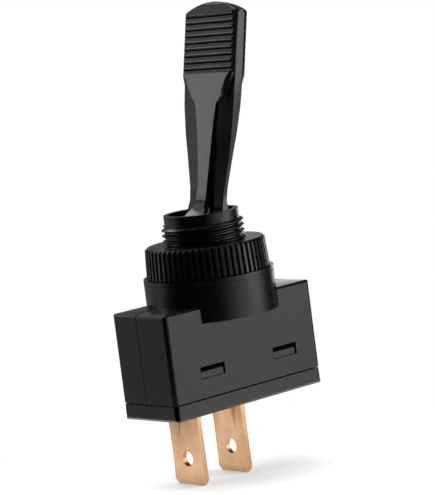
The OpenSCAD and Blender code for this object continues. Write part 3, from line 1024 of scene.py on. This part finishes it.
@dataclass(frozen=True)
class Glow:
    """One soft patch of light on the studio's walls, placed round the camera's line of sight.

    Args:
        bearings: Degrees to the right of the camera between which it glows.
        heights: Degrees above the switch between which it glows.
        strength: How bright it is; 1 is white.
        feather: Degrees over which it fades to either side.
        melt: Degrees over which it fades upwards and downwards.
    """

    bearings: tuple[float, float]
    heights: tuple[float, float]
    strength: float
    feather: float
    melt: float

    def paint(self, wire: Wiring, bearing: NodeSocket, height: NodeSocket) -> NodeSocket:
        """Wires the patch.

        Args:
            wire: The world's wiring.
            bearing: Degrees to the right of the camera.
            height: Degrees above the switch.

        Returns:
            How bright the patch is in each direction.
        """
        middle = sum(self.bearings) / 2
        turned = wire.math("WRAP", wire.math("SUBTRACT", bearing, middle), 180.0, -180.0)
        across = self.fade(wire, turned, (self.bearings[1] - self.bearings[0]) / 2, self.feather)
        level = wire.math("SUBTRACT", height, sum(self.heights) / 2)
        upright = self.fade(wire, level, (self.heights[1] - self.heights[0]) / 2, self.melt)
        return wire.math("MULTIPLY", wire.math("MULTIPLY", across, upright), self.strength)

    @staticmethod
    def fade(wire: Wiring, away: NodeSocket, reach: float, softness: float) -> NodeSocket:
        """Wires a fall from 1 inside a reach to 0 outside it."""
        return wire.band(wire.math("ABSOLUTE", away), reach + softness / 2, reach - softness / 2)


@dataclass
class Studio:
    """The floor, the backdrop, the lamps, the world and the camera.

    Args:
        azimuth: The camera's azimuth in degrees; 0 looks along +Y.
        elevation: The camera's height in degrees.
        roll: The camera's roll in degrees.
        distance: Metres from the camera to the case's top face.
        lens: Focal length in millimetres.
        sensor: The sensor's width in millimetres.
        aside: How far the camera stands to the right of that face's middle, in metres.
        above: How far it stands above it, in metres.
        aim: The middle of the case's top face.
        floor_z: The floor's height.
        sheet_r: Radius of the paper under the switch.
        sheet_glow: How bright the paper itself is under the switch, and at its rim.
        sheet_fade: Shares of its radius between which that changes.
        card_size: Width and height of the card behind the switch.
        card_place: How far the card stands to the right, to the back and above the floor.
        card_glow: The card's strength.
        lamps: The softboxes.
        glows: The patches of light on the walls.
        backdrop: The part of the walls that the camera sees behind the switch.
        gloom: The walls' strength elsewhere.
    """

    azimuth: float = -41.18
    elevation: float = 6.91
    roll: float = 7.36
    distance: float = 0.3932
    lens: float = 199.37
    sensor: float = 36
    aside: float = 0.000844
    above: float = 0.007018
    aim: Vector = field(default_factory=lambda: Vector((0, 0, -3.65 * MM)))
    floor_z: float = -29.4 * MM
    sheet_r: float = 45 * MM
    sheet_glow: tuple[float, float] = (0.12, 0.8)
    sheet_fade: tuple[float, float] = (0.45, 0.95)
    card_size: tuple[float, float] = (80 * MM, 42 * MM)
    card_place: tuple[float, float, float] = (40 * MM, 100 * MM, 22 * MM)
    card_glow: float = 1.7
    lamps: tuple[Softbox, ...] = (
        Softbox("Right softbox", 79, 22, 0.6, (0.62, 0.52), 2.2),
        Softbox("Left softbox", -97, 25, 0.6, (0.25, 0.45), 0.8),
        Softbox("Top softbox", -100, 78, 0.6, (0.5, 0.6), 1.4),
    )
    glows: tuple[Glow, ...] = (
        Glow((38, 98), (-70, -2), 1.15, 50, 6),
        Glow((70, 100), (-5, 40), 2.6, 12, 5),
        Glow((-150, -84), (-20, 3), 0.3, 32, 8),
        Glow((-106.5, -92.5), (0, 24), 2.4, 5, 12),
        Glow((-128, -106), (3, 24), 0.45, 6, 6),
        Glow((-140, -105), (29, 52), 0.75, 8, 6),
        Glow((-178, -146), (28, 52), 2.5, 12, 8),
        Glow((150, 210), (-8, 24), 0.16, 6, 6),
        Glow((110, 250), (54, 80), 1.3, 20, 8),
    )
    backdrop: Glow = Glow((174, 186), (-13, -1), 1.0, 2, 2)
    gloom: float = 0.01

    def build(self) -> None:
        """Sets up the whole studio."""
        self.floor()
        self.world()
        self.card()
        for lamp in self.lamps:
            lamp.light(self.azimuth, self.aim)
        self.camera()
        bpy.context.scene.view_settings.view_transform = "Standard"

    def floor(self) -> None:
        """Lays a round sheet of paper under the switch, small enough to keep the studio dark round it."""
        Bench.clear()
        bpy.ops.mesh.primitive_circle_add(
            vertices=128, radius=self.sheet_r, fill_type="NGON", location=(0, 0, self.floor_z)
        )
        floor = bpy.context.active_object
        floor.name = floor.data.name = "studio_floor"
        Bench.pick(floor)
        bpy.ops.object.transform_apply(location=True, rotation=True, scale=True)
        floor.data.materials.clear()
        floor.data.materials.append(self.paper())

    def card(self) -> None:
        """Stands a white card behind the switch on the right, seen only in its glossy skin."""
        Bench.clear()
        bpy.ops.mesh.primitive_plane_add(size=1, location=(0, 0, 0))
        card = bpy.context.active_object
        card.name = card.data.name = "studio_card"
        turn = math.radians(self.azimuth)
        right = Vector((math.cos(turn), math.sin(turn), 0))
        back = Vector((-math.sin(turn), math.cos(turn), 0))
        aside, behind, above = self.card_place
        card.scale = (*self.card_size, 1)
        card.rotation_euler = (math.radians(90), 0, turn)
        card.location = right * aside + back * behind + Vector((0, 0, self.floor_z + above))
        Bench.pick(card)
        bpy.ops.object.transform_apply(location=True, rotation=True, scale=True)
        material, wire, shader = open_material("Studio card")
        material.node_tree.nodes.remove(shader)
        glow = wire.node("Emission")
        glow.inputs["Strength"].default_value = self.card_glow
        wire.join(glow.outputs[0], material.node_tree.nodes["Material Output"].inputs["Surface"])
        card.data.materials.append(material)
        card.visible_camera = card.visible_diffuse = card.visible_shadow = False

    def paper(self) -> Material:
        """Builds the white paper, which stays white to the camera and keeps the shadow.

        Returns:
            The paper's material.
        """
        material, wire, shader = open_material("Studio paper")
        material.node_tree.nodes.remove(shader)
        out = material.node_tree.nodes["Material Output"]
        matt = wire.node("BsdfDiffuse")
        matt.inputs["Color"].default_value = (0.8, 0.8, 0.8, 1.0)
        away = wire.node("VectorMath", "distance from the middle", operation="LENGTH")
        wire.join(wire.node("TexCoord").outputs["Object"], away.inputs[0])
        near, far = (share * self.sheet_r for share in self.sheet_fade)
        strength = wire.band(away.outputs["Value"], near, far, *self.sheet_glow)
        glow = wire.node("Emission")
        wire.join(wire.math("MULTIPLY", self.seen(wire), strength), glow.inputs["Strength"])
        both = wire.node("AddShader")
        wire.join(matt.outputs[0], both.inputs[0])
        wire.join(glow.outputs[0], both.inputs[1])
        wire.join(both.outputs[0], out.inputs["Surface"])
        return material

    @staticmethod
    def seen(wire: Wiring) -> NodeSocket:
        """Wires a switch that is 1 for what the camera, metal and glass see."""
        path = wire.node("LightPath")
        mirrored = wire.math("MAXIMUM", path.outputs["Is Glossy Ray"], path.outputs["Is Transmission Ray"])
        return wire.math("MAXIMUM", path.outputs["Is Camera Ray"], mirrored)

    def world(self) -> None:
        """Paints the studio's walls: dark round the camera, with soft patches of light at the sides.

        The backdrop is white wherever the camera looks. Glossy and transmitted rays see it white
        where it stands, right behind the switch.
        """
        world = bpy.data.worlds.new("Studio air")
        bpy.context.scene.world = world
        world.use_nodes = True
        wire = Wiring(world.node_tree)
        sky = world.node_tree.nodes["Background"]
        sky.inputs["Color"].default_value = (1.0, 1.0, 1.0, 1.0)
        turned = wire.node("Mapping", vector_type="POINT")
        wire.join(wire.node("TexCoord").outputs["Generated"], turned.inputs["Vector"])
        turned.inputs["Rotation"].default_value = (0.0, 0.0, -math.radians(self.azimuth))
        way = wire.node("SeparateXYZ")
        wire.join(turned.outputs[0], way.inputs[0])
        bearing = wire.math("ARCTAN2", way.outputs["X"], wire.math("MULTIPLY", way.outputs["Y"], -1.0))
        bearing = wire.math("MULTIPLY", bearing, math.degrees(1.0))
        height = wire.math("MULTIPLY", wire.math("ARCSINE", way.outputs["Z"]), math.degrees(1.0))
        light = self.gloom
        for glow in self.glows:
            light = wire.math("ADD", glow.paint(wire, bearing, height), light)
        behind = wire.math("MULTIPLY", self.seen(wire), self.backdrop.paint(wire, bearing, height))
        camera_ray = wire.node("LightPath").outputs["Is Camera Ray"]
        white = wire.math("MAXIMUM", camera_ray, behind)
        wire.join(wire.math("MAXIMUM", light, white), sky.inputs["Strength"])

    def camera(self) -> None:
        """Stands the camera at its angle."""
        turn, rise, lean = (math.radians(v) for v in (self.azimuth, self.elevation, self.roll))
        back = Vector((math.sin(turn) * math.cos(rise), -math.cos(turn) * math.cos(rise), math.sin(rise)))
        level = Vector((math.cos(turn), math.sin(turn), 0))
        upright = back.cross(level)
        right = math.cos(lean) * level - math.sin(lean) * upright
        up = math.sin(lean) * level + math.cos(lean) * upright
        place = self.aim + right * self.aside + up * self.above + back * self.distance
        Bench.clear()
        bpy.ops.object.camera_add(location=place)
        camera = bpy.context.active_object
        camera.name = "Studio camera"
        columns = (right, up, back, place)
        rows = [tuple(column[axis] for column in columns) for axis in range(3)]
        camera.matrix_world = Matrix((*rows, (0, 0, 0, 1)))
        camera.data.lens = self.lens
        camera.data.sensor_width = self.sensor
        camera.data.clip_start = 0.01
        bpy.context.scene.camera = camera


# ---------------------------------------------------------------------------- main


def main() -> None:
    """Builds the dressed switch and the studio."""
    logging.basicConfig(level=logging.INFO, format="%(message)s")
    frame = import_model()
    finishes = Finishes(SurfaceEffects())
    for assembly in (CaseMoulding, GripNut, DuckbillLever, SwitchWorks):
        assembly(frame["nodes"], finishes).build()
    Studio().build()


if __name__ == "__main__":
    main()
